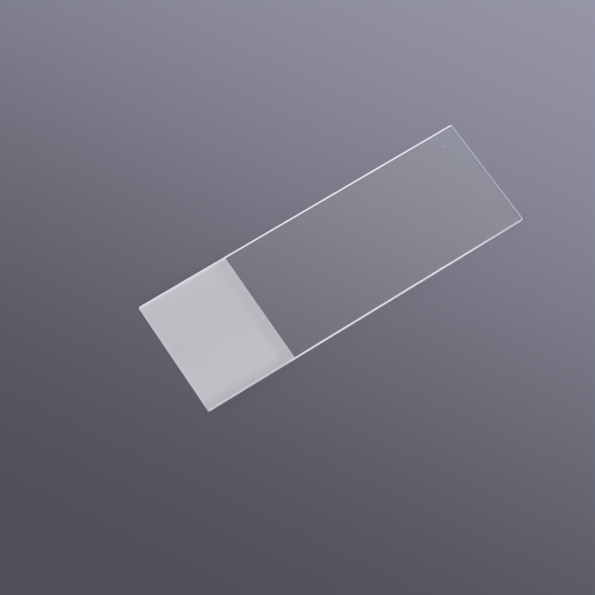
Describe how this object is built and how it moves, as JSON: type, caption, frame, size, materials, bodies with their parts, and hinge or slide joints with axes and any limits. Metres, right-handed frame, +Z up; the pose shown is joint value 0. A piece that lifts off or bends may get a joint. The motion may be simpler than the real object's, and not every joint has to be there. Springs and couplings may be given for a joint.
{
  "type": "microscope slide",
  "caption": "Flat rectangular glass microscope slide with ground edges, a clear window for the specimen and one etched end for pencil notes.",
  "frame": {"origin": "under the middle of the slide, on its plain lower face", "axes": "+X along the length, from the etched end to the clear end; +Z up through the thickness, out of the face that takes the specimen"},
  "size_m": [0.0762, 0.0254, 0.001],
  "materials": {
    "glass": "clear polished soda-lime glass, with ground edges and one matt etched end"
  },
  "bodies": {
    "root": {"slide": "glass"}
  },
  "joints": []
}
